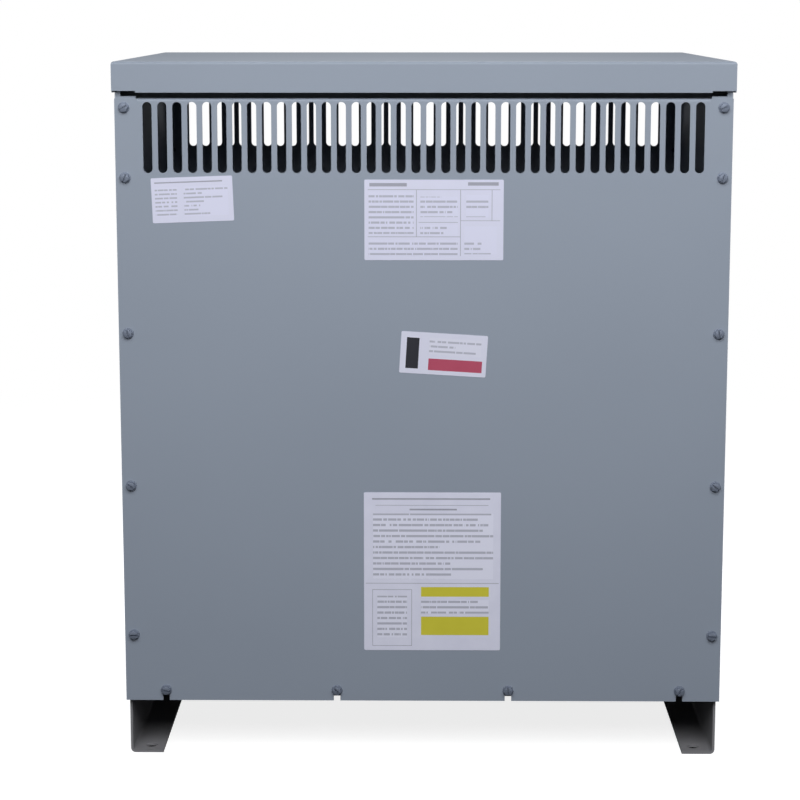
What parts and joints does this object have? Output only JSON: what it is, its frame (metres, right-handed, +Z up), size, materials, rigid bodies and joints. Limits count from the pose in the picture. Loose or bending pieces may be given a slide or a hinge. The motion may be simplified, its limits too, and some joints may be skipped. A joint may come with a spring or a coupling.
{
  "type": "power transformer",
  "caption": "Floor-standing ventilated dry-type power transformer: folded steel cabinet with a row of vent slots, a core and windings inside, on two channel runners.",
  "frame": {"origin": "on the floor, under the centre of the cabinet", "axes": "+Z up, +X to the right as seen from the front, the front panel faces -Y"},
  "size_m": [0.729, 0.552, 0.843],
  "materials": {
    "cabinet_paint": "satin powder coat",
    "runner_paint": "satin powder coat",
    "frame_paint": "satin powder coat",
    "core_bearer_paint": "satin paint",
    "isolation_rubber": "matte",
    "clamp_paint": "satin paint",
    "core_steel": "varnished laminations",
    "winding_wrap": "varnished",
    "duct_stick": "matte",
    "insulating_board": "matte",
    "terminal_metal": "mill finish"
  },
  "bodies": {
    "root": {"base_runner_left": "runner_paint", "base_runner_right": "runner_paint", "base_rail_front": "frame_paint", "base_rail_rear": "frame_paint", "top_rail_front": "frame_paint", "top_rail_rear": "frame_paint", "core_bearer_front": "core_bearer_paint", "core_bearer_rear": "core_bearer_paint", "left_side_panel": "cabinet_paint", "right_side_panel": "cabinet_paint", "front_panel": "cabinet_paint", "rear_panel": "cabinet_paint", "top_cover": "cabinet_paint", "isolation_pads": "isolation_rubber", "lower_clamp_front": "clamp_paint", "lower_clamp_rear": "clamp_paint", "upper_clamp_front": "clamp_paint", "upper_clamp_rear": "clamp_paint", "core_lower_yoke": "core_steel", "core_upper_yoke": "core_steel", "core_leg_left": "core_steel", "core_leg_middle": "core_steel", "core_leg_right": "core_steel", "lv_winding_left": "winding_wrap", "lv_winding_middle": "winding_wrap", "lv_winding_right": "winding_wrap", "hv_winding_left": "winding_wrap", "hv_winding_middle": "winding_wrap", "hv_winding_right": "winding_wrap", "duct_sticks_left": "duct_stick", "duct_sticks_middle": "duct_stick", "duct_sticks_right": "duct_stick", "coil_blocks_lower": "insulating_board", "coil_blocks_upper": "insulating_board", "tap_board_left": "insulating_board", "tap_board_middle": "insulating_board", "tap_board_right": "insulating_board", "lv_terminal_left": "terminal_metal", "lv_terminal_middle": "terminal_metal", "lv_terminal_right": "terminal_metal", "neutral_bar": "terminal_metal"}
  },
  "joints": []
}
